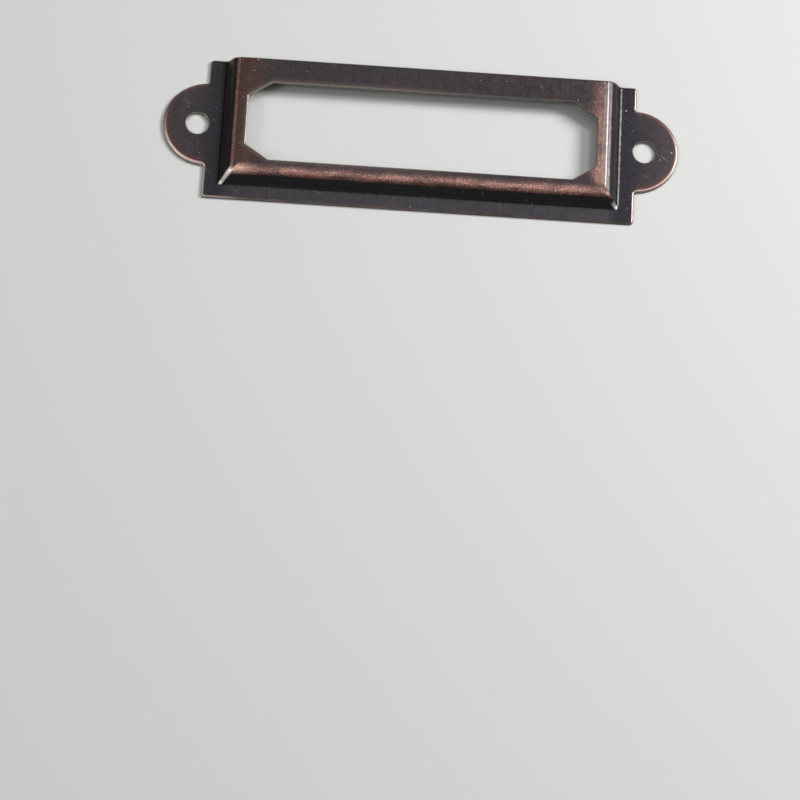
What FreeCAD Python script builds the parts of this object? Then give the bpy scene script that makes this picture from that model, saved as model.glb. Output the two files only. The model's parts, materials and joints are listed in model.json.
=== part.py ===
import FreeCAD, Part
import os

import Sketcher

# A drawer label frame: a flat flange with a screw ear at each end, and a raised face with a window in it.
# It is one stamping, with the same sheet thickness all over. On three sides a leaning wall joins the raised
# face to the flange, and the fourth side is open, so that a card slides in behind the window.
# The origin is midway between the screw holes on the back: X along the frame, Y to the open side, Z out.
NODE = "label_frame"

SIZES = {
    # Blank: the flange and its two ears
    "hole_spacing": 61.0,
    "hole_diameter": 3.0,
    "hole_outset": 1.25,
    "hole_setback": 10.45,
    "ear_radius": 5.9,
    "ear_fillet": 0.3,
    "frame_depth": 19.8,
    "corner_radius": 0.4,
    "sheet_thickness": 0.5,
    # Raised face: its height over the back, the flange left round it and the lean of its walls in degrees
    "overall_height": 2.5,
    "end_margin": 2.3,
    "closed_margin": 2.0,
    "wall_lean": 30.0,
    # Inside radii of the bends: along the face, down the hips where two walls meet, and along the flange
    "shoulder_bend": 0.9,
    "hip_bend": 0.1,
    "foot_bend": 0.5,
    # Window: the rims left round it and its cut corners
    "window_end_rim": 2.0,
    "window_closed_rim": 2.0,
    "window_open_rim": 3.5,
    "window_corner_length": 3.2,
    "window_corner_width": 2.1,
    # Soft edges that the die leaves along the front of the cuts
    "outline_round": 0.28,
    "window_round": 0.12,
    "hole_round": 0.12,
}

# Heights over the back
BACK = "0"
FLANGE_FRONT = "sizes.sheet_thickness"
FACE_FRONT = "sizes.overall_height"

# Lengths that follow from the driving sizes, with edges measured from the origin
HOLE_RADIUS = "(sizes.hole_diameter / 2)"
FLANGE_LENGTH = "(sizes.hole_spacing - 2 * sizes.hole_outset)"
OVERALL_LENGTH = f"({FLANGE_LENGTH} + 2 * sizes.ear_radius)"
RISE = f"({FACE_FRONT} - {FLANGE_FRONT})"
WALL_RUN = f"({RISE} * tan(sizes.wall_lean * 1 deg))"
WALL_STEP = "(sizes.sheet_thickness * tan((90 - sizes.wall_lean) / 2 * 1 deg))"
CLOSED_EDGE = "sizes.hole_setback"
OPEN_EDGE = "(sizes.frame_depth - sizes.hole_setback)"
FOOT_LENGTH = f"({FLANGE_LENGTH} - 2 * sizes.end_margin)"
FOOT_EDGE = f"({CLOSED_EDGE} - sizes.closed_margin)"
CAVITY_LENGTH = f"({FOOT_LENGTH} - 2 * {WALL_STEP})"
CAVITY_EDGE = f"({FOOT_EDGE} - {WALL_STEP})"
WINDOW_LENGTH = f"({FOOT_LENGTH} - 2 * {WALL_RUN} - 2 * sizes.window_end_rim)"
WINDOW_LOWER = f"({FOOT_EDGE} - {WALL_RUN} - sizes.window_closed_rim)"
WINDOW_UPPER = f"({OPEN_EDGE} - sizes.window_open_rim)"

# Sketch numbers: the points of a line or a circle, the two axes, and the origin as the start of the X axis
START, END, CENTRE = range(1, 4)
X_AXIS, Y_AXIS = range(-1, -3, -1)
ORIGIN = (X_AXIS, START)

CLOSE = 1e-4

doc = FreeCAD.newDocument("label_frame_document")
sheet = doc.addObject("Spreadsheet::Sheet", "sizes")
for row, (alias, value) in enumerate(SIZES.items(), start=1):
    sheet.set(f"A{row}", alias)
    sheet.set(f"B{row}", str(value))
    sheet.setAlias(f"B{row}", alias)
doc.recompute()

body = doc.addObject("PartDesign::Body", NODE)
body.Label = NODE
planes = {feature.Role: feature for feature in body.Origin.OriginFeatures}


def size(expression):
    """Value of an expression on the sheet's sizes."""
    return float(sheet.evalExpression(expression))


def new_sketch(name, height=BACK):
    """Sketch parallel to the back, lifted off it by an expression."""
    sketch = body.newObject("Sketcher::SketchObject", name)
    sketch.AttachmentSupport = [(planes["XY_Plane"], "")]
    sketch.MapMode = "FlatFace"
    sketch.setExpression("AttachmentOffset.Base.z", height)
    return sketch


def constrain(sketch, *terms):
    """Adds a constraint that has no size."""
    sketch.addConstraint(Sketcher.Constraint(*terms))


def dimension(sketch, name, expression, *terms):
    """Adds a named dimension that follows an expression."""
    index = sketch.addConstraint(Sketcher.Constraint(*terms, size(expression)))
    sketch.renameConstraint(index, name)
    sketch.setExpression(f"Constraints.{name}", expression)


def draw_loop(sketch, corners):
    """Draws straight lines round a list of corners, each joined to the next."""
    ends = corners[1:] + corners[:1]
    for start, end in zip(corners, ends):
        sketch.addGeometry(Part.LineSegment(FreeCAD.Vector(*start, 0), FreeCAD.Vector(*end, 0)))
    for index in range(len(corners)):
        constrain(sketch, "Coincident", index, END, (index + 1) % len(corners), START)


def rectangle_sketch(name, length, lower, upper, height=BACK):
    """Rectangle centred on the Y axis. Lower is measured down from the X axis, and upper is measured up."""
    sketch = new_sketch(name, height)
    half = size(length) / 2
    bottom = -size(lower)
    top = size(upper)
    draw_loop(sketch, [(-half, bottom), (half, bottom), (half, top), (-half, top)])
    constrain(sketch, "Symmetric", 0, START, 0, END, Y_AXIS)
    constrain(sketch, "Symmetric", 2, START, 2, END, Y_AXIS)
    constrain(sketch, "Vertical", 1)
    dimension(sketch, "length", length, "DistanceX", 0, START, 0, END)
    dimension(sketch, "lower", lower, "DistanceY", 0, END, *ORIGIN)
    dimension(sketch, "upper", upper, "DistanceY", *ORIGIN, 2, START)
    return sketch


def window_sketch():
    """Rectangle with four cut corners, centred on the Y axis."""
    sketch = new_sketch("window_outline")
    half = size(WINDOW_LENGTH) / 2
    bottom = -size(WINDOW_LOWER)
    top = size(WINDOW_UPPER)
    inner = half - size("sizes.window_corner_length")
    cut = size("sizes.window_corner_width")
    right = [(inner, bottom), (half, bottom + cut), (half, top - cut), (inner, top)]
    left = [(-x, y) for x, y in reversed(right)]
    draw_loop(sketch, right + left)
    for line, mirror in ((0, 6), (1, 5), (2, 4)):
        constrain(sketch, "Symmetric", line, START, mirror, END, Y_AXIS)
    constrain(sketch, "Symmetric", 2, END, 4, START, Y_AXIS)
    constrain(sketch, "Vertical", 1)
    dimension(sketch, "length", WINDOW_LENGTH, "DistanceX", 5, END, 1, START)
    dimension(sketch, "lower", WINDOW_LOWER, "DistanceY", 0, START, *ORIGIN)
    dimension(sketch, "upper", WINDOW_UPPER, "DistanceY", *ORIGIN, 2, END)
    dimension(sketch, "lower_corner_length", "sizes.window_corner_length", "DistanceX", 0, START, 0, END)
    dimension(sketch, "lower_corner_width", "sizes.window_corner_width", "DistanceY", 0, START, 0, END)
    dimension(sketch, "upper_corner_length", "sizes.window_corner_length", "DistanceX", 2, END, 2, START)
    dimension(sketch, "upper_corner_width", "sizes.window_corner_width", "DistanceY", 2, START, 2, END)
    return sketch


def circle_pair_sketch(name, spacing, radius):
    """Two equal circles on the X axis, one each side of the origin."""
    sketch = new_sketch(name)
    for side in (-1, 1):
        centre = FreeCAD.Vector(side * size(spacing) / 2, 0, 0)
        sketch.addGeometry(Part.Circle(centre, FreeCAD.Vector(0, 0, 1), size(radius)))
    constrain(sketch, "Symmetric", 0, CENTRE, 1, CENTRE, *ORIGIN)
    constrain(sketch, "PointOnObject", 1, CENTRE, X_AXIS)
    constrain(sketch, "Equal", 0, 1)
    dimension(sketch, "spacing", spacing, "DistanceX", 0, CENTRE, 1, CENTRE)
    dimension(sketch, "radius", radius, "Radius", 0)
    return sketch


def pad(name, sketch, length):
    """Adds a prism over a sketch."""
    feature = body.newObject("PartDesign::Pad", name)
    feature.Profile = sketch
    feature.setExpression("Length", length)
    doc.recompute()


def cut_up(name, sketch, depth):
    """Cuts up into the part from a sketch, and tells if nothing was cut."""
    before = body.Shape.Volume
    feature = body.newObject("PartDesign::Pocket", name)
    feature.Profile = sketch
    feature.Reversed = True
    feature.setExpression("Length", depth)
    doc.recompute()
    if feature.Shape.Volume > before - CLOSE:
        raise RuntimeError(f"{name} cuts nothing")


def lean_walls(name, foot, top):
    """Leans the upright faces between two heights inwards from their foot, all but the open side."""
    base = body.Tip
    walls = []
    for index, face in enumerate(base.Shape.Faces, start=1):
        box = face.BoundBox
        if near(box.ZMin, foot) and near(box.ZMax, top) and not near(box.YMin, OPEN_EDGE):
            walls.append(f"Face{index}")
    feature = body.newObject("PartDesign::Draft", name)
    feature.Base = (base, walls)
    feature.NeutralPlane = (base, [face_at(base, foot)])
    feature.setExpression("Angle", "sizes.wall_lean")
    doc.recompute()


def face_at(feature, height):
    """Name of the level face of a feature at a height."""
    for index, face in enumerate(feature.Shape.Faces, start=1):
        box = face.BoundBox
        if box.ZLength < CLOSE and near(box.ZMin, height):
            return f"Face{index}"
    raise RuntimeError(f"no level face at {height}")


def fillet(name, radius, wanted):
    """Rounds the edges of the part so far that pass a test, with those that run on smoothly from them."""
    base = body.Tip
    names = [f"Edge{index}" for index, edge in enumerate(base.Shape.Edges, start=1) if wanted(edge)]
    feature = body.newObject("PartDesign::Fillet", name)
    feature.Base = (base, names)
    feature.setExpression("Radius", radius)
    doc.recompute()


def near(value, expression):
    """Tells whether a measured value is that of an expression."""
    return abs(value - size(expression)) < CLOSE


def shoulder_edge(x, y, z):
    """Test for an edge of the raised face: along X at a depth, or along Y at a distance either side."""
    def wanted(edge):
        box = edge.BoundBox
        level = box.ZLength < CLOSE and near(box.ZMin, z)
        long_side = box.YLength < CLOSE and near(box.YMin, y)
        end_side = box.XLength < CLOSE and near(abs(box.XMin), x)
        return level and (long_side or end_side)
    return wanted


def hip_edge(x, y):
    """Test for the slanted edge between two walls, with its foot either side of the middle at a depth."""
    def wanted(edge):
        box = edge.BoundBox
        slanted = min(box.XLength, box.YLength, box.ZLength) > CLOSE
        return slanted and near(max(abs(box.XMin), abs(box.XMax)), x) and near(box.YMin, y)
    return wanted


def foot_edge(y, z):
    """Test for the straight edge along X at the foot of the long wall."""
    def wanted(edge):
        box = edge.BoundBox
        straight = box.YLength < CLOSE and box.ZLength < CLOSE
        return straight and near(box.YMin, y) and near(box.ZMin, z)
    return wanted


def upright_at(x, depths):
    """Test for an upright edge at a distance either side of the middle and at one of some depths."""
    def wanted(edge):
        box = edge.BoundBox
        upright = box.XLength < CLOSE and box.YLength < CLOSE
        return upright and near(abs(box.XMin), x) and any(near(box.YMin, depth) for depth in depths)
    return wanted


def front_of_cut(length, lower, upper):
    """Test for an edge between the front and a face that a cut left upright, within a rectangle in plan."""
    def wanted(edge):
        box = edge.BoundBox
        inside = max(-box.XMin, box.XMax) < size(length) / 2 + CLOSE
        inside = inside and box.YMin > -size(lower) - CLOSE and box.YMax < size(upper) + CLOSE
        point = edge.valueAt((edge.FirstParameter + edge.LastParameter) / 2)
        rises = []
        for face in body.Tip.Shape.ancestorsOfType(edge, Part.Face):
            rises.append(face.normalAt(*face.Surface.parameter(point)).z)
        return inside and min(rises) > -CLOSE and min(rises) < CLOSE and max(rises) > CLOSE
    return wanted


# Blank
flange_outline = rectangle_sketch("flange_outline", FLANGE_LENGTH, CLOSED_EDGE, OPEN_EDGE)
pad("flange", flange_outline, FLANGE_FRONT)
ear_outline = circle_pair_sketch("ear_outline", FLANGE_LENGTH, "sizes.ear_radius")
pad("ears", ear_outline, FLANGE_FRONT)

# Raised face, first with upright walls, which then lean inwards from their foot: the back before the front
raised_outline = rectangle_sketch("raised_outline", FOOT_LENGTH, FOOT_EDGE, OPEN_EDGE, FLANGE_FRONT)
pad("raised_face", raised_outline, RISE)
cavity_outline = rectangle_sketch("cavity_outline", CAVITY_LENGTH, CAVITY_EDGE, OPEN_EDGE)
cut_up("cavity", cavity_outline, RISE)
lean_walls("walls_back", BACK, RISE)
lean_walls("walls_front", FLANGE_FRONT, FACE_FRONT)

# Bends, with the same centre on the front and the back of the sheet
fillet("shoulders", "sizes.shoulder_bend + sizes.sheet_thickness",
       shoulder_edge(f"{FOOT_LENGTH} / 2 - {WALL_RUN}", f"{WALL_RUN} - {FOOT_EDGE}", FACE_FRONT))
fillet("shoulders_back", "sizes.shoulder_bend",
       shoulder_edge(f"{CAVITY_LENGTH} / 2 - {WALL_RUN}", f"{WALL_RUN} - {CAVITY_EDGE}", RISE))
fillet("hips", "sizes.hip_bend + sizes.sheet_thickness", hip_edge(f"{FOOT_LENGTH} / 2", f"-{FOOT_EDGE}"))
fillet("hips_back", "sizes.hip_bend", hip_edge(f"{CAVITY_LENGTH} / 2", f"-{CAVITY_EDGE}"))
fillet("foot", "sizes.foot_bend", foot_edge(f"-{FOOT_EDGE}", FLANGE_FRONT))
fillet("foot_back", "sizes.foot_bend + sizes.sheet_thickness", foot_edge(f"-{CAVITY_EDGE}", BACK))

# Window and screw holes, with their soft front edges
cut_up("window", window_sketch(), FACE_FRONT)
fillet("window_edges", "sizes.window_round", front_of_cut(WINDOW_LENGTH, WINDOW_LOWER, WINDOW_UPPER))
hole_outline = circle_pair_sketch("hole_outline", "sizes.hole_spacing", HOLE_RADIUS)
cut_up("screw_holes", hole_outline, FLANGE_FRONT)
fillet("hole_edges", "sizes.hole_round", front_of_cut(OVERALL_LENGTH, HOLE_RADIUS, HOLE_RADIUS))

# Rounded corners of the blank and its soft front edge, which stays smaller than they are
fillet("corners", "sizes.corner_radius", upright_at(f"{FLANGE_LENGTH} / 2", (f"-{CLOSED_EDGE}", OPEN_EDGE)))
fillet("ear_corners", "sizes.ear_fillet",
       upright_at(f"{FLANGE_LENGTH} / 2", ("-sizes.ear_radius", "sizes.ear_radius")))
fillet("outline_edges", "min(sizes.outline_round; 0.9 * sizes.corner_radius)",
       front_of_cut(OVERALL_LENGTH, CLOSED_EDGE, OPEN_EDGE))

for item in doc.Objects:
    if {"Invalid", "Error"} & set(item.State):
        raise RuntimeError(f"{item.Label} failed: {item.State}")
if body.Shape.isNull() or not body.Shape.isValid() or len(body.Shape.Solids) != 1:
    raise RuntimeError("the frame isn't one valid solid")

os.makedirs("parts", exist_ok=True)
body.Shape.exportStep(f"parts/{body.Label}.step")
box = body.Shape.optimalBoundingBox()
print(f"{NODE}: {box.XLength:.2f} x {box.YLength:.2f} x {box.ZLength:.2f} mm, {body.Shape.Volume:.1f} mm3")
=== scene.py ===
import json
import math

import bpy
import numpy as np
from mathutils import Matrix, Vector, geometry


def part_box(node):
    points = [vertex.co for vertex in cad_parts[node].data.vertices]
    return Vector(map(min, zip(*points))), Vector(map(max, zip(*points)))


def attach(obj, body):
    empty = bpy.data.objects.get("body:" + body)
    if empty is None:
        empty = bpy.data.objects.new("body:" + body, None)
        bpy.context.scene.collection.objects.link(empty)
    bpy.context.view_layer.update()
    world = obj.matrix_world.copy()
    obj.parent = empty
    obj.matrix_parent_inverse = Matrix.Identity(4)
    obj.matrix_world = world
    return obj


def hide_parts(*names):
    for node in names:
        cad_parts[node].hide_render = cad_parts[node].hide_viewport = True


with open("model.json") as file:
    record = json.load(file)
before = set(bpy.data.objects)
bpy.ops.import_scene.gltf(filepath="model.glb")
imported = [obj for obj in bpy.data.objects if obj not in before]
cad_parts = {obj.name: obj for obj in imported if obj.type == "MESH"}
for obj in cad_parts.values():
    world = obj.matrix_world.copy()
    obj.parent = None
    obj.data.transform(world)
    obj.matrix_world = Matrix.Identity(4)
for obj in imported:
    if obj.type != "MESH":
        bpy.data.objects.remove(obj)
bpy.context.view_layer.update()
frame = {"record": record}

# Looks of a drawer label frame: one stamped sheet, copper plated, darkened, and rubbed where it stands out.
# Shapes are worked out in millimetres in the part's own frame and become metres when a mesh is made.
NODE = "label_frame"
MM = 0.001

# Blank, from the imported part: X along the frame, Y to the open side, Z out of the front
LOW, HIGH = (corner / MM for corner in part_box(NODE))
SCREWS = next(mount for mount in frame["record"]["mounts"] if mount["name"] == "screw_holes")["dims"]
CLOSED_EDGE = LOW.y
OPEN_EDGE = HIGH.y
FACE_FRONT = HIGH.z
HOLE_X = SCREWS["spacing_x_mm"] / 2
HOLE_RADIUS = SCREWS["hole_r_mm"]
HOLE_OUTSET = 1.25
FLANGE_HALF = HOLE_X - HOLE_OUTSET
EAR_RADIUS = HIGH.x - FLANGE_HALF
EAR_FILLET = 0.3
CORNER_RADIUS = 0.4
SHEET = 0.5

# Raised face: the foot of its walls, their pitch, and the radii of the bends on the front of the sheet
END_MARGIN = 2.3
CLOSED_MARGIN = 2.0
FOOT_HALF = FLANGE_HALF - END_MARGIN
FOOT_EDGE = CLOSED_EDGE + CLOSED_MARGIN
WALL_PITCH = math.radians(60)
FOOT_RADIUS = 0.5
SHOULDER_RADIUS = 1.4
HIP_SOFTNESS = 0.66
HIP_SOFTNESS_BACK = 0.12
WALL_RUN = (FACE_FRONT - SHEET) / math.tan(WALL_PITCH)
FOOT_CENTRE = -FOOT_RADIUS * math.tan(WALL_PITCH / 2)

# Crown: the face sinks a little towards its shoulders
CROWN = 0.07
CROWN_RUN = 1.6
CROWN_LEAD = 0.5
SHOULDER_CENTRE = WALL_RUN - CROWN / math.tan(WALL_PITCH) + SHOULDER_RADIUS * math.tan(WALL_PITCH / 2)
CROWN_START = SHOULDER_CENTRE - CROWN_LEAD

# Window in the raised face
WINDOW_END_RIM = 2.0
WINDOW_CLOSED_RIM = 2.0
WINDOW_OPEN_RIM = 3.5
WINDOW_HALF = FOOT_HALF - WALL_RUN - WINDOW_END_RIM
WINDOW_LOWER = FOOT_EDGE + WALL_RUN + WINDOW_CLOSED_RIM
WINDOW_UPPER = OPEN_EDGE - WINDOW_OPEN_RIM
WINDOW_CUT = (3.2, 2.1)
WINDOW_CORNER = 0.15

# Edges that the die left: rolled over on the front, nearly sharp on the back
OUTLINE_ROUND = 0.28
WINDOW_ROUND = 0.12
BACK_ROUND = 0.04
ROUND_STEPS = 6

# Spacing of the mesh
GRID = 0.4
LEAST_GAP = 0.3 * GRID
TINY = 1e-6
FOOT_STEPS = 7
WALL_STEPS = 4
SHOULDER_STEPS = 15
ARC_STEP = math.radians(3)


def section(inset, depth):
    """Height and slope of the sheet across a wall, on a skin that lies a depth behind its front."""
    foot_radius = FOOT_RADIUS + depth
    shoulder_radius = SHOULDER_RADIUS - depth
    steepest = math.sin(WALL_PITCH)
    from_foot = inset - FOOT_CENTRE
    from_shoulder = SHOULDER_CENTRE - inset
    foot_turn = np.arcsin(np.clip(from_foot / foot_radius, 0, steepest))
    shoulder_turn = np.arcsin(np.clip(from_shoulder / shoulder_radius, 0, steepest))
    past_foot = np.maximum(from_foot - foot_radius * steepest, 0) * math.tan(WALL_PITCH)
    past_shoulder = np.maximum(from_shoulder - shoulder_radius * steepest, 0) * math.tan(WALL_PITCH)
    crowned = np.clip((inset - CROWN_START) / CROWN_RUN, 0, 1)
    crown = CROWN * crowned ** 2 * (3 - 2 * crowned)
    crown_slope = CROWN * 6 * crowned * (1 - crowned) / CROWN_RUN
    rising = SHEET + FOOT_RADIUS - foot_radius * np.cos(foot_turn) + past_foot
    falling = FACE_FRONT - CROWN - SHOULDER_RADIUS + shoulder_radius * np.cos(shoulder_turn) - past_shoulder
    middle = (FOOT_CENTRE + SHOULDER_CENTRE + (foot_radius - shoulder_radius) * steepest) / 2
    height = np.where(inset < middle, rising, falling) + crown
    return height, np.tan(np.minimum(foot_turn, shoulder_turn)) + crown_slope


def wall_insets(points):
    """Distances of plan points inside the foot lines of the end walls and of the long wall."""
    return FOOT_HALF - np.abs(points[:, 0]), points[:, 1] - FOOT_EDGE


def soft_inset(points, softness):
    """Distance inside the nearest foot line, rounded at the hips, and the share of the end wall in it."""
    end, long = wall_insets(points)
    rounding = np.maximum(softness - np.abs(end - long), 0) ** 2 / (4 * softness)
    share = np.clip(0.5 + (long - end) / (2 * softness), 0, 1)
    return np.minimum(end, long) - rounding, share


def surface(points, depth):
    """Places and upward normals of plan points on a skin of the sheet that lies a depth behind its front."""
    softness = HIP_SOFTNESS + (HIP_SOFTNESS_BACK - HIP_SOFTNESS) * depth / SHEET
    inset, share = soft_inset(points, softness)
    height, slope = section(inset, depth)
    fall_x = slope * share * np.sign(points[:, 0])
    fall_y = slope * (share - 1)
    normals = np.column_stack([fall_x, fall_y, np.ones(len(points))])
    return np.column_stack([points, height]), unit(normals)


def unit(vectors):
    """The vectors at length one."""
    return vectors / np.linalg.norm(vectors, axis=1, keepdims=True)


def spread(start, end):
    """Evenly spaced stations between two places, both included."""
    return np.linspace(start, end, max(2, math.ceil(abs(end - start) / GRID) + 1))


def bend_stations():
    """Insets at which the walls are sampled: evenly round each bend and along the wall between."""
    foot = FOOT_CENTRE + FOOT_RADIUS * np.sin(np.linspace(0, WALL_PITCH, FOOT_STEPS))
    shoulder = SHOULDER_CENTRE - SHOULDER_RADIUS * np.sin(np.linspace(WALL_PITCH, 0, SHOULDER_STEPS))
    wall = np.linspace(foot[-1], shoulder[0], WALL_STEPS + 2)[1:-1]
    return np.concatenate([foot, wall, shoulder])


def grid_stations():
    """Stations along X and along Y, close together across the walls."""
    bends = bend_stations()
    inner = spread(0, FOOT_HALF - bends[-1])
    outer = spread(FOOT_HALF - bends[0], HIGH.x)
    half = np.unique(np.concatenate([inner, FOOT_HALF - bends, outer]).round(6))
    along_x = np.concatenate([-half[:0:-1], half])
    flange = spread(CLOSED_EDGE, FOOT_EDGE + bends[0])
    face = spread(FOOT_EDGE + bends[-1], OPEN_EDGE)
    along_y = np.unique(np.concatenate([flange, FOOT_EDGE + bends, face]).round(6))
    return along_x, along_y


def mirrored(arcs):
    """The arcs of a loop's right half, mirrored for its left half and in the order that follows on."""
    return [
        ((-x, y), radius, math.pi - end, math.pi - start)
        for (x, y), radius, start, end in reversed(arcs)
    ]


def rounded_corners(points, radius):
    """Arcs that round the corners of a polygon."""
    arcs = []
    for index, corner in enumerate(points):
        before = np.subtract(corner, points[index - 1])
        after = np.subtract(points[(index + 1) % len(points)], corner)
        heading = math.atan2(before[1], before[0])
        turn = (math.atan2(after[1], after[0]) - heading + math.pi) % (2 * math.pi) - math.pi
        side = math.copysign(math.pi / 2, turn)
        back = radius * math.tan(abs(turn) / 2)
        x = corner[0] - back * math.cos(heading) + radius * math.cos(heading + side)
        y = corner[1] - back * math.sin(heading) + radius * math.sin(heading + side)
        arcs.append(((x, y), radius, heading - side, heading - side + turn))
    return arcs


def blank_loop():
    """Arcs of the flange with its two ears. The metal is on the left, as on every loop."""
    right_angle = math.pi / 2
    corner_x = FLANGE_HALF - CORNER_RADIUS
    fillet_y = math.sqrt((EAR_RADIUS + EAR_FILLET) ** 2 - EAR_FILLET ** 2)
    lean = math.atan2(EAR_FILLET, fillet_y)
    right = [
        ((corner_x, CLOSED_EDGE + CORNER_RADIUS), CORNER_RADIUS, -right_angle, 0),
        ((FLANGE_HALF + EAR_FILLET, -fillet_y), EAR_FILLET, math.pi, right_angle + lean),
        ((FLANGE_HALF, 0), EAR_RADIUS, lean - right_angle, right_angle - lean),
        ((FLANGE_HALF + EAR_FILLET, fillet_y), EAR_FILLET, 3 * right_angle - lean, math.pi),
        ((corner_x, OPEN_EDGE - CORNER_RADIUS), CORNER_RADIUS, 0, right_angle),
    ]
    return right + mirrored(right)


def window_loop():
    """Arcs of the window, a rectangle with four cut corners."""
    inner = WINDOW_HALF - WINDOW_CUT[0]
    right = [
        (inner, WINDOW_UPPER),
        (WINDOW_HALF, WINDOW_UPPER - WINDOW_CUT[1]),
        (WINDOW_HALF, WINDOW_LOWER + WINDOW_CUT[1]),
        (inner, WINDOW_LOWER),
    ]
    left = [(-x, y) for x, y in reversed(right)]
    return rounded_corners(right + left, WINDOW_CORNER)


def hole_loop(x):
    """Arcs of a screw hole."""
    return [((x, 0), HOLE_RADIUS, math.pi, 0), ((x, 0), HOLE_RADIUS, 0, -math.pi)]


def arc_points(arc, offset):
    """Points round an arc moved into the metal by an offset, and the directions out of the metal there."""
    (x, y), radius, start, end = arc
    sense = math.copysign(1, end - start)
    angles = np.linspace(start, end, max(2, math.ceil(abs(end - start) / ARC_STEP)) + 1)
    rays = np.column_stack([np.cos(angles), np.sin(angles)])
    return np.array([x, y]) + (radius - sense * offset) * rays, sense * rays


def run_shares(start, end, stations):
    """Shares of a straight run at which it crosses the grid, or even shares where it is slanted."""
    run = end - start
    for axis in (0, 1):
        if abs(run[1 - axis]) < TINY:
            shares = (stations[axis] - start[axis]) / run[axis]
            margin = LEAST_GAP / abs(run[axis])
            return np.sort(shares[(shares > margin) & (shares < 1 - margin)])
    return np.linspace(0, 1, math.ceil(np.hypot(*run) / GRID) + 1)[1:-1]


def loop_points(arcs, offset, stations):
    """Plan points round a loop moved into the metal by an offset, and the directions out of the metal."""
    points, outward = [], []
    for arc, following in zip(arcs, arcs[1:] + arcs[:1]):
        curve, rays = arc_points(arc, offset)
        start, end = curve[-1], arc_points(following, offset)[0][0]
        if np.hypot(*(end - start)) < TINY:
            points.append(curve[:-1])
            outward.append(rays[:-1])
            continue
        shares = run_shares(start, end, stations)[:, None]
        points += [curve, start + shares * (end - start)]
        outward += [rays, np.repeat(rays[-1:], len(shares), axis=0)]
    return np.concatenate(points), np.concatenate(outward)


def distance_to(points, loops):
    """Distance of plan points to the nearest loop, and whether each lies inside an odd number of loops."""
    nearest = np.full(len(points), np.inf)
    crossings = np.zeros(len(points), int)
    for loop in loops:
        for start, end in zip(loop, np.roll(loop, -1, axis=0)):
            run = end - start
            share = np.clip((points - start) @ run / (run @ run), 0, 1)
            gaps = points - start - share[:, None] * run
            nearest = np.minimum(nearest, np.einsum("ij,ij->i", gaps, gaps))
            if abs(run[1]) > TINY:
                level = (points[:, 1] - start[1]) / run[1]
                reached = start[0] + level * run[0]
                crossings += (level >= 0) & (level < 1) & (points[:, 0] < reached)
    return np.sqrt(nearest), crossings % 2 == 1


def filled(loops, inner):
    """The loops' points, then the inner ones, and triangles inside the first loop and outside the others."""
    points = np.concatenate(loops + [inner])
    owner = np.full(len(points), len(loops))
    edges = []
    start = 0
    for number, loop in enumerate(loops):
        owner[start:start + len(loop)] = number
        edges += [(start + index, start + (index + 1) % len(loop)) for index in range(len(loop))]
        start += len(loop)
    inside_only = 1
    tolerance = 1e-7
    placed, _, triangles, sources, _, _ = geometry.delaunay_2d_cdt(
        [Vector(point) for point in points], edges, [], inside_only, tolerance)
    if len(placed) != len(points):
        raise RuntimeError("points of the sheet fell together")
    given = np.array([olds[0] for olds in sources])[np.array(triangles)]
    owners = owner[given]
    on_one_loop = owners.min(axis=1) == owners.max(axis=1)
    in_hole = on_one_loop & (owners[:, 0] > 0) & (owners[:, 0] < len(loops))
    return points, given[~in_hole]


def band_rows(arcs, front_round, stations):
    """Rows of places and normals down the cut edge of a loop, from the front skin to the back skin."""
    rows = []
    for depth, radius, turns in (
            (0, front_round, np.linspace(0, math.pi / 2, ROUND_STEPS + 1)),
            (SHEET, BACK_ROUND, np.linspace(math.pi / 2, 0, ROUND_STEPS + 1))):
        side = 1 if depth == 0 else -1
        for turn in turns:
            points, outward = loop_points(arcs, radius * (1 - math.sin(turn)), stations)
            places, normals = surface(points, depth)
            places[:, 2] -= side * radius * (1 - math.cos(turn))
            outward = np.column_stack([outward, np.zeros(len(outward))])
            normals = unit(side * math.cos(turn) * normals + math.sin(turn) * outward)
            rows.append((places, normals))
    return rows


class Sheet:
    """Points, normals and faces of the stamping while it is put together."""

    def __init__(self):
        self.places = []
        self.normals = []
        self.faces = []
        self.count = 0

    def add(self, places, normals):
        """Adds points and gives back their numbers."""
        start = self.count
        self.places.append(places)
        self.normals.append(normals)
        self.count += len(places)
        return np.arange(start, self.count)

    def add_strip(self, above, below):
        """Adds four-sided faces between two closed rows of points."""
        corners = [above, below, np.roll(below, -1), np.roll(above, -1)]
        self.faces += np.column_stack(corners).tolist()

    def add_skin(self, depth, loops, inner):
        """Adds the front or the back skin, and gives back the numbers of the points along each loop."""
        points, triangles = filled(loops, inner)
        places, normals = surface(points, depth)
        if depth:
            normals = -normals
            triangles = triangles[:, ::-1]
        numbers = self.add(places, normals)
        self.faces += numbers[triangles].tolist()
        ends = np.cumsum([len(loop) for loop in loops])
        return np.split(numbers, ends)[:-1]

    def add_cut(self, rows, front, back):
        """Adds a cut edge by rows of places and normals, between the rows of the two skins."""
        above = front
        for places, normals in rows:
            below = self.add(places, normals)
            self.add_strip(above, below)
            above = below
        self.add_strip(above, back)


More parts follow.
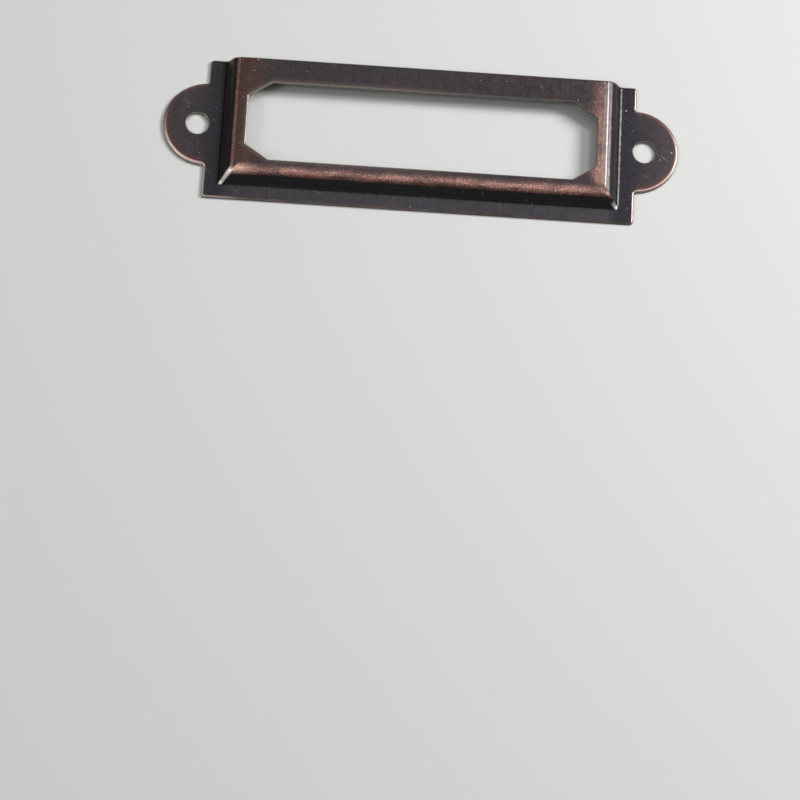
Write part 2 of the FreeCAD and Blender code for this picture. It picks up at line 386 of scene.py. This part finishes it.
def sheet_mesh():
    """Mesh of the whole stamping, with distances on it that its finish follows."""
    stations = grid_stations()
    arcs = [blank_loop(), window_loop(), hole_loop(HOLE_X), hole_loop(-HOLE_X)]
    front_rounds = [OUTLINE_ROUND, WINDOW_ROUND, WINDOW_ROUND, WINDOW_ROUND]
    back_rounds = [BACK_ROUND] * len(arcs)
    cuts = [loop_points(arc, 0, stations)[0] for arc in arcs]
    grid = np.array(np.meshgrid(*stations)).reshape(2, -1).T
    gaps, inside = distance_to(grid, cuts)
    inner = grid[inside & (gaps > OUTLINE_ROUND + LEAST_GAP)]

    sheet = Sheet()
    edges = []
    for depth, rounds in ((0, front_rounds), (SHEET, back_rounds)):
        loops = [loop_points(arc, radius, stations)[0] for arc, radius in zip(arcs, rounds)]
        edges.append(sheet.add_skin(depth, loops, inner))
    for arc, radius, front, back in zip(arcs, front_rounds, *edges):
        sheet.add_cut(band_rows(arc, radius, stations)[1:-1], front, back)

    places = np.concatenate(sheet.places)
    mesh = bpy.data.meshes.new("stamped_frame")
    mesh.from_pydata(places * MM, [], sheet.faces)
    mesh.shade_smooth()
    mesh.normals_split_custom_set_from_vertices(np.concatenate(sheet.normals))
    add_distances(mesh, places, cuts)
    return mesh


def add_distances(mesh, places, cuts):
    """Stores for each point its distances in millimetres, and a share that is 1 close to the front skin."""
    front_depth = 0.1
    plan = places[:, :2]
    end, long = wall_insets(plan)
    below_front = surface(plan, 0)[0][:, 2] - places[:, 2]
    values = {
        "outline_gap": distance_to(plan, cuts[:1])[0],
        "window_gap": distance_to(plan, cuts[1:])[0],
        "end_inset": end,
        "long_inset": long,
        "along": places[:, 0],
        "front": np.clip(2 - below_front / front_depth, 0, 1),
    }
    for name, value in values.items():
        mesh.attributes.new(name, "FLOAT", "POINT").data.foreach_set("value", value)


def add_object(name, data):
    """Puts an object into the scene."""
    made = bpy.data.objects.new(name, data)
    bpy.context.scene.collection.objects.link(made)
    return made


# Colours of the finish, as light that it gives back
FLANGE_OXIDE = (0.039, 0.035, 0.041, 1)
# Flange darkened beside the end walls and onto the ears: painted shade.
FLANGE_PAINTED_SHADE = (0.0128, 0.0116, 0.0170, 1)
# Wall colours: the crease is near black as patina in the hollow and as painted shade; the long wall is darker
# than the end walls as painted shade.
CREASE_PATINA_AND_SHADE = (0.008, 0.007, 0.008, 1)
LONG_WALL_OXIDE_AND_SHADE = (0.018, 0.0165, 0.0175, 1)
END_WALL_OXIDE = (0.062, 0.049, 0.045, 1)
FACE_OXIDE = (0.0325, 0.0265, 0.0305, 1)
FACE_BROWN = (0.072, 0.034, 0.026, 1)
EDGE_BROWN = (0.10, 0.038, 0.031, 1)
COPPER = (0.52, 0.255, 0.217, 1)
PEACH = (0.95, 0.60, 0.44, 1)
# Worn metal on the rims and beside the window's left edge: wear, partly a painted highlight.
WORN_EDGE = (0.46, 0.345, 0.295, 1)
# Bare metal on the lower rim: wear, partly a painted highlight.
BARE_METAL_AND_HIGHLIGHT = (0.80, 0.63, 0.56, 1)
# Near white: polished metal, and a painted highlight and glint on the hips.
POLISHED_METAL_AND_GLINT = (0.96, 0.85, 0.83, 1)
# Pale rim round the cut-outs: bare cut metal, partly a painted highlight.
PALE_CUT_AND_HIGHLIGHT = (0.30, 0.27, 0.225, 1)
SPECK = (0.42, 0.41, 0.40, 1)


class Nodes:
    """Short ways to add nodes to a material or a world."""

    def __init__(self, tree):
        self.tree = tree

    def output(self, kind, name):
        """An output of a new node."""
        return self.tree.nodes.new(kind).outputs[name]

    def seen(self):
        """1 for what the camera sees, straight or in a reflection, and 0 for light that falls on things."""
        seen = self.output("ShaderNodeLightPath", "Is Camera Ray")
        for kind in ("Is Glossy Ray", "Is Transmission Ray"):
            seen = self.maths("MAXIMUM", seen, self.output("ShaderNodeLightPath", kind))
        return seen

    def join(self, value, socket):
        """Links an output to a socket, or sets the socket to a plain value."""
        if isinstance(value, bpy.types.NodeSocket):
            self.tree.links.new(value, socket)
        else:
            socket.default_value = value

    def attribute(self, name):
        """A value that the mesh stores."""
        made = self.tree.nodes.new("ShaderNodeAttribute")
        made.attribute_name = name
        return made.outputs["Fac"]

    def maths(self, operation, first, second=0.0):
        """A sum, product or the like of two values."""
        made = self.tree.nodes.new("ShaderNodeMath")
        made.operation = operation
        self.join(first, made.inputs[0])
        self.join(second, made.inputs[1])
        return made.outputs[0]

    def product(self, first, *others):
        """All the values times each other."""
        for other in others:
            first = self.maths("MULTIPLY", first, other)
        return first

    def ramp(self, value, start, end, low=0.0, high=1.0):
        """Smooth rise from low to high, while a value goes from start to end."""
        made = self.tree.nodes.new("ShaderNodeMapRange")
        made.interpolation_type = "SMOOTHSTEP"
        for socket, number in zip(made.inputs[:5], (value, start, end, low, high)):
            self.join(number, socket)
        return made.outputs[0]

    def band(self, value, start, full, fade, end):
        """Rise from 0 to 1 while a value goes from start to full, and fall while it goes from fade to end."""
        return self.product(self.ramp(value, start, full), self.ramp(value, fade, end, 1, 0))

    def shade(self, colour, factor):
        """A colour times a factor."""
        made = self.tree.nodes.new("ShaderNodeVectorMath")
        made.operation = "SCALE"
        self.join(colour, made.inputs["Vector"])
        self.join(factor, made.inputs["Scale"])
        return made.outputs[0]

    def mix(self, share, first, second):
        """One colour over another by a share."""
        made = self.tree.nodes.new("ShaderNodeMix")
        made.data_type = "RGBA"
        self.join(share, made.inputs["Factor"])
        self.join(first, made.inputs[6])
        self.join(second, made.inputs[7])
        return made.outputs[2]


class Finish(Nodes):
    """Copper plate darkened to near black, then rubbed, by the distances that the mesh stores, with painted
    shade and painted highlights in places.

    Plain numbers are millimetres or shares. An inset is 0 at the foot of a wall, about 1.5 on its shoulder
    and more than 2 on the face. A gap is 0 at a cut edge.
    """

    def __init__(self, name):
        self.material = bpy.data.materials.new(name)
        self.material.use_nodes = True
        super().__init__(self.material.node_tree)
        self.shader = self.tree.nodes["Principled BSDF"]
        self.place = self.output("ShaderNodeTexCoord", "Object")
        self.end = self.attribute("end_inset")
        self.long = self.attribute("long_inset")
        self.inset = self.maths("MINIMUM", self.end, self.long)
        self.past_hip = self.maths("SUBTRACT", self.long, self.end)
        self.on_end = self.ramp(self.past_hip, -0.15, 0.15)
        self.on_long = self.ramp(self.on_end, 0, 1, 1, 0)
        self.right = self.ramp(self.attribute("along"), -15, 15)
        self.left = self.by_side(1, 0)
        self.by_left_hip = self.product(self.ramp(self.end, 7, 2), self.left, self.on_long)
        self.front = self.attribute("front")
        self.cloud = self.noise(2.6, 4)
        self.mottle = self.noise(0.6, 4)
        self.speckle = self.noise(0.24, 3)
        self.patches = self.noise(1.6, 3, (2.2, 1, 1))
        self.streak = self.noise(0.3, 3, (1, 14, 1))
        self.brushed = self.noise(0.09, 2, (1, 30, 1))

    def noise(self, grain, detail=2.0, stretch=(1, 1, 1), turn=0.0):
        """Noise between 0 and 1 with a grain in millimetres, which may be stretched and turned about Z."""
        mapping = self.tree.nodes.new("ShaderNodeMapping")
        mapping.vector_type = "TEXTURE"
        mapping.inputs["Rotation"].default_value[2] = math.radians(turn)
        mapping.inputs["Scale"].default_value = [grain * MM * share for share in stretch]
        self.join(self.place, mapping.inputs["Vector"])
        made = self.tree.nodes.new("ShaderNodeTexNoise")
        made.inputs["Scale"].default_value = 1
        made.inputs["Detail"].default_value = detail
        self.join(mapping.outputs[0], made.inputs["Vector"])
        return made.outputs["Fac"]

    def vary(self, noise, low, high):
        """Value between low and high that follows a noise over its usual range."""
        return self.ramp(noise, 0.35, 0.65, low, high)

    def by_side(self, left, right):
        """One value at the left end and another at the right end."""
        return self.ramp(self.right, 0, 1, left, right)

    def oxide(self):
        """Slate on the flange with painted shade beside the end walls, nearly black on the walls with patina
        and painted shade darkest in the creases and on the long wall, and brown clouds on the face, all a
        little darker towards the right end as painted shade.
        """
        # Painted shade on the flange beside each end wall and onto the ears.
        shade_beside_end = self.band(self.end, self.by_side(-5, -9), -0.6, 0, 1.5)
        flange = self.mix(self.product(shade_beside_end, 0.87), FLANGE_OXIDE, FLANGE_PAINTED_SHADE)
        near_end = self.product(self.ramp(self.end, 7, 2), self.by_side(0.85, 0.4))
        brown = self.maths("ADD", self.ramp(self.cloud, 0.4, 0.65, 0.0, 0.22), near_end)
        face = self.mix(brown, FACE_OXIDE, FACE_BROWN)
        colour = self.mix(self.ramp(self.inset, 1.5, 2.0), flange, face)
        # End walls are near black in the crease as patina and painted shade, lighter in the middle but only
        # half as much on the right end, as painted shade; the long wall is darker than the end walls, as
        # painted shade.
        above_crease = self.maths("SUBTRACT", self.inset, self.product(self.right, 0.4))
        middle = self.product(self.band(above_crease, -0.15, 0.15, 0.65, 1.0), self.by_side(1, 0.5))
        end_wall = self.mix(middle, CREASE_PATINA_AND_SHADE, END_WALL_OXIDE)
        long_wall = self.mix(self.ramp(self.inset, 0.35, 0.1), LONG_WALL_OXIDE_AND_SHADE, FLANGE_OXIDE)
        colour = self.mix(self.wall(), colour, self.mix(self.on_end, long_wall, end_wall))
        blotches = self.ramp(self.mottle, 0.25, 0.75, 0.32, 0.68)
        uneven = self.maths("ADD", blotches, self.ramp(self.streak, 0.3, 0.7, 0.38, 0.62))
        # Blotches and streaks are the oxide's own tone; the darkening towards the right end is painted shade.
        return self.shade(colour, self.product(uneven, self.ramp(self.right, 0.4, 1, 1, 0.85)))

    def wall(self):
        """Share of the walls in the surface, which lie lower at the left end and higher at the right one."""
        from_foot = self.product(self.on_end, self.by_side(-0.25, 0.35))
        start = self.ramp(self.maths("SUBTRACT", self.inset, from_foot), -0.8, 0.3)
        to_shoulder = self.product(self.on_end, self.right, 0.3)
        end = self.ramp(self.maths("SUBTRACT", self.inset, to_shoulder), 0.95, 1.4, 1, 0)
        return self.product(start, end)

    def rubbed_bends(self):
        """Share of copper: broad on the long shoulder, narrow on the left one, on the face at the right, and
        stronger near the left hip, partly as a painted highlight.
        """
        grainy = self.vary(self.speckle, 0.6, 1.3)
        patchy = self.vary(self.patches, 0.55, 1.2)
        fade = self.ramp(self.long, 1.25, 3.1, 1, 0)
        to_hip = self.ramp(self.past_hip, -0.15, self.by_side(0.15, 0.5), 1, 0)
        # Copper is stronger towards the left hip: wear, partly a painted highlight.
        wear_and_highlight_by_left_hip = self.ramp(self.by_left_hip, 0, 1, 1, 1.45)
        along = self.product(self.ramp(self.long, 0.83, 1.48), fade, fade, patchy, to_hip, wear_and_highlight_by_left_hip)
        left = self.product(self.band(self.end, 1.27, 1.47, 1.57, 1.9), self.left, self.on_end, 0.9)
        downwards = self.ramp(self.long, 17, 11, 0.07, 0.14)
        inwards = self.ramp(self.end, 2.3, 3.1, 0.75, 1.9)
        across = self.product(self.band(self.end, 1.25, 1.95, 2.8, 4.6), self.ramp(self.past_hip, -1.2, 0.6))
        right = self.product(across, downwards, inwards, self.right, self.vary(self.cloud, 0.6, 1.4))
        ends = self.maths("MAXIMUM", left, right)
        return self.product(self.maths("MAXIMUM", ends, along), grainy)

    def rubbed_hips_and_glint(self):
        """Share of polished metal down the left hip, partly a painted highlight, and of a painted glint at
        the foot of the right one.
        """
        gap = self.maths("ABSOLUTE", self.past_hip)
        reach = self.ramp(self.inset, 0, 1.6, 0.5, 0.8)
        width = self.ramp(self.maths("DIVIDE", gap, reach), 0.3, 1.0, 1, 0)
        left = self.product(self.band(self.inset, -0.25, 0.05, 1.35, 1.7), self.left)
        # Painted glint at the foot of the right hip.
        right = self.product(self.band(self.inset, -0.15, 0.1, 0.35, 0.65), self.right, 0.6)
        return self.product(width, self.maths("ADD", left, right))

    def rubbed_outline(self, colour):
        """The colour with a brown margin on the ears, a worn rim, and bare metal on parts of the rim. The
        worn rim is stronger on the lower arcs, and the bare metal lies there: wear, partly a painted
        highlight.
        """
        on_ear = self.ramp(self.end, -1.5, -3.2)
        low = self.ramp(self.long, 13, 5)
        gap = self.product(self.attribute("outline_gap"), self.ramp(on_ear, 0, 1, 1.8, 1))
        patchy = self.product(self.vary(self.cloud, 0.6, 1.0), self.front)
        narrow = self.product(self.ramp(gap, 1.3, 0.5), self.ramp(low, 0, 1, 0.3, 1))
        broad = self.product(self.ramp(gap, 4.5, 0.8), self.vary(self.patches, 0.1, 0.3))
        margin = self.product(self.maths("MAXIMUM", narrow, broad), on_ear, self.by_side(1, 0.55))
        colour = self.mix(self.product(margin, patchy), colour, EDGE_BROWN)
        rim = self.ramp(gap, 0.48, self.by_side(0.2, 0.26))
        # The worn rim is stronger on the lower arcs: wear, partly a painted highlight.
        share = self.product(self.by_side(0.7, 0.45), self.ramp(low, 0, 1, 0.5, 1))
        worn = self.mix(on_ear, WORN_EDGE, COPPER)
        colour = self.mix(self.product(rim, patchy, share), colour, worn)
        return self.mix(self.product(rim, self.bare_rim_and_highlight(), self.front), colour, BARE_METAL_AND_HIGHLIGHT)

    def bare_rim_and_highlight(self):
        """Share of bare metal in the rim, partly a painted highlight: low on the left end, fainter on the
        right one, and at a corner.
        """
        left = self.product(self.left, self.ramp(self.long, 11, 5))
        beside_ear = self.ramp(self.end, -2.5, -2.3)
        reach = self.maths("MAXIMUM", self.ramp(self.long, 12.5, 9.5), beside_ear)
        right = self.product(self.right, reach, 0.32)
        ends = self.product(self.maths("ADD", left, right), self.ramp(self.end, -1.8, -2.1))
        corner = self.product(self.ramp(self.long, -1.4, -1.7), self.ramp(self.end, 4, 0), self.left)
        return self.maths("MAXIMUM", ends, corner)

    def rubbed_cuts(self, colour):
        """The colour with worn metal beside the window's left edge, and a pale rim round each cut-out,
        stronger on the left: bare cut metal, partly a painted highlight where the edges catch the light.
        """
        gap = self.attribute("window_gap")
        on_face = self.ramp(self.end, 0, 1)
        # Worn metal beside the window's left edge: wear, partly a painted highlight where the edge faces the
        # light.
        beside = self.product(self.ramp(gap, 0.8, 0, 0, 0.14), self.left, on_face, self.front)
        colour = self.mix(beside, colour, WORN_EDGE)
        # Pale rim round each cut-out, stronger on the left: bare cut metal, partly a painted highlight.
        pale = self.product(self.ramp(gap, 0.18, 0.06), self.by_side(0.95, 0.5), self.front)
        return self.mix(pale, colour, PALE_CUT_AND_HIGHLIGHT)

    def marks(self, colour):
        """The colour with sparse pale specks and fine slanted scratches."""
        speck = self.ramp(self.noise(0.4, 2), 0.72, 0.79)
        slanted = self.noise(0.16, 1, (1, 50, 1), 55)
        scratch = self.product(self.ramp(slanted, 0.70, 0.76), self.ramp(self.cloud, 0.5, 0.62, 0, 0.25))
        return self.mix(self.product(self.maths("MAXIMUM", speck, scratch), self.front), colour, SPECK)

    def lacquer(self):
        """Weight of the clear coat, thin on the walls and polished on the right shoulder."""
        thin = self.product(self.wall(), self.ramp(self.inset, 0.95, 1.25, 1, 0))
        right_end = self.product(self.right, self.on_end)
        worn = self.product(self.band(self.end, 1.1, 1.3, 1.5, 1.65), right_end, 0.6)
        thin = self.maths("MAXIMUM", thin, worn)
        polished = self.product(self.band(self.end, 1.6, 1.78, 1.95, 2.15), right_end, 0.45)
        weight = self.maths("ADD", self.ramp(thin, 0, 1, 0.5, 0.2), polished)
        on_bends = self.product(right_end, self.ramp(self.end, -1, -0.5))
        flaws = self.product(on_bends, self.ramp(self.mottle, 0.3, 0.7, -0.35, 0.35))
        return self.product(weight, self.maths("ADD", flaws, 1.0))

    def relief(self):
        """Fine grain and brush lines of the surface."""
        bump = self.tree.nodes.new("ShaderNodeBump")
        bump.inputs["Strength"].default_value = 0.3
        bump.inputs["Distance"].default_value = 0.012 * MM
        self.join(self.maths("ADD", self.brushed, self.mottle), bump.inputs["Height"])
        return bump.outputs[0]


def antique_copper():
    """Material of the whole sheet."""
    finish = Finish("antique_copper")
    copper = finish.product(finish.rubbed_bends(), finish.front)
    # Polished metal on the left hip, partly a painted highlight, and a painted glint at the right hip's foot.
    bare = finish.product(finish.rubbed_hips_and_glint(), finish.front)
    # Peach points over the copper are painted glint points; the peach near the left hip is worn metal, partly
    # a painted highlight.
    painted_glints = finish.ramp(finish.speckle, 0.55, 0.72, 0, 0.8)
    pale = finish.maths("MAXIMUM", finish.product(finish.by_left_hip, 0.85), painted_glints)
    plate = finish.mix(pale, COPPER, PEACH)
    colour = finish.mix(copper, finish.oxide(), plate)
    colour = finish.mix(bare, colour, POLISHED_METAL_AND_GLINT)
    colour = finish.rubbed_cuts(finish.rubbed_outline(colour))
    colour = finish.marks(colour)
    satin = finish.ramp(finish.brushed, 0.2, 0.8, 0.36, 0.5)
    roughness = finish.maths("ADD", satin, finish.product(finish.wall(), 0.12))
    finish.join(colour, finish.shader.inputs["Base Color"])
    finish.join(roughness, finish.shader.inputs["Roughness"])
    finish.join(finish.relief(), finish.shader.inputs["Normal"])
    finish.shader.inputs["Metallic"].default_value = 1
    finish.join(finish.lacquer(), finish.shader.inputs["Coat Weight"])
    finish.shader.inputs["Coat Roughness"].default_value = 0.12
    return finish.material


# What shows far off: a pale horizon
HORIZON = (0.97, 0.98, 1, 1)
HORIZON_STRENGTH = 0.55


def pale_floor():
    """Plain pale matt surface that fades into the horizon between two distances in metres."""
    near = 0.2
    far = 0.7
    material = bpy.data.materials.new("pale_floor")
    material.use_nodes = True
    tree = material.node_tree
    nodes = Nodes(tree)
    matt = tree.nodes["Principled BSDF"]
    matt.inputs["Base Color"].default_value = (0.67, 0.67, 0.655, 1)
    matt.inputs["Roughness"].default_value = 0.9
    matt.inputs["Specular IOR Level"].default_value = 0.2
    haze = tree.nodes.new("ShaderNodeEmission")
    haze.inputs["Color"].default_value = HORIZON
    haze.inputs["Strength"].default_value = HORIZON_STRENGTH
    distance = tree.nodes.new("ShaderNodeVectorMath")
    distance.operation = "LENGTH"
    nodes.join(nodes.output("ShaderNodeTexCoord", "Object"), distance.inputs[0])
    both = tree.nodes.new("ShaderNodeMixShader")
    faded = nodes.ramp(distance.outputs["Value"], near, far)
    nodes.join(nodes.product(faded, nodes.seen()), both.inputs[0])
    nodes.join(matt.outputs[0], both.inputs[1])
    nodes.join(haze.outputs[0], both.inputs[2])
    nodes.join(both.outputs[0], tree.nodes["Material Output"].inputs["Surface"])
    return material


def add_floor():
    """Floor just under the back of the frame."""
    reach = 1.0
    clearance = 0.02 * MM
    mesh = bpy.data.meshes.new("floor")
    corners = [(-reach, -reach, 0), (reach, -reach, 0), (reach, reach, 0), (-reach, reach, 0)]
    mesh.from_pydata(corners, [], [(0, 1, 2, 3)])
    mesh.materials.append(pale_floor())
    floor = add_object("floor", mesh)
    floor.location.z = -clearance


def add_softbox(name, place, size, watts):
    """Lamp that faces the frame. Its place, and its sizes along X and across, are in metres."""
    light = bpy.data.lights.new(name, "AREA")
    light.shape = "RECTANGLE"
    light.size, light.size_y = size
    light.energy = watts
    lamp = add_object(name, light)
    lamp.location = place
    away = lamp.location.normalized()
    along = (Vector((1, 0, 0)) - away.x * away).normalized()
    lamp.rotation_euler = Matrix((along, away.cross(along), away)).transposed().to_euler()


def add_light():
    """A key from the upper right, a soft light overhead with a lamp beside it, and a light on the left."""
    add_softbox("key", (0.330, 0.110, 0.289), (0.16, 0.18), 1.95)
    add_softbox("overhead", (0.03, 0.16, 0.70), (0.45, 0.8), 0.9)
    add_softbox("lamp", (0.210, 0.217, 0.523), (0.1, 0.05), 0.55)
    add_softbox("left", (-0.33, -0.125, 0.35), (0.15, 0.15), 0.42)


def add_world():
    """Dim even fill, with a pale horizon that only the camera and glossy surfaces see."""
    fill = 0.09
    world = bpy.data.worlds.new("studio")
    world.use_nodes = True
    nodes = Nodes(world.node_tree)
    background = world.node_tree.nodes["Background"]
    background.inputs["Color"].default_value = HORIZON
    direction = world.node_tree.nodes.new("ShaderNodeSeparateXYZ")
    nodes.join(nodes.output("ShaderNodeTexCoord", "Generated"), direction.inputs[0])
    low_sky = nodes.product(nodes.ramp(direction.outputs["Z"], 0.2, 0.45, 1, 0), nodes.seen())
    nodes.join(nodes.ramp(low_sky, 0, 1, fill, HORIZON_STRENGTH), background.inputs["Strength"])
    bpy.context.scene.world = world


def add_camera():
    """Camera at the photograph's place, with its lens. The sizes are in millimetres and degrees."""
    camera = bpy.data.cameras.new("camera")
    camera.lens = 116.2
    camera.sensor_width = 36
    camera.clip_start = 10 * MM
    viewer = add_object("camera", camera)
    viewer.location = Vector((-11.468, -127.163, 330.069)) * MM
    viewer.rotation_euler = [math.radians(turn) for turn in (15.1551, -2.6304, 2.9889)]
    bpy.context.scene.camera = viewer


piece = add_object("stamped_frame", sheet_mesh())
piece.data.materials.append(antique_copper())
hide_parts(NODE)
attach(piece, "root")

bpy.context.scene.view_settings.view_transform = "Standard"
add_floor()
add_light()
add_world()
add_camera()
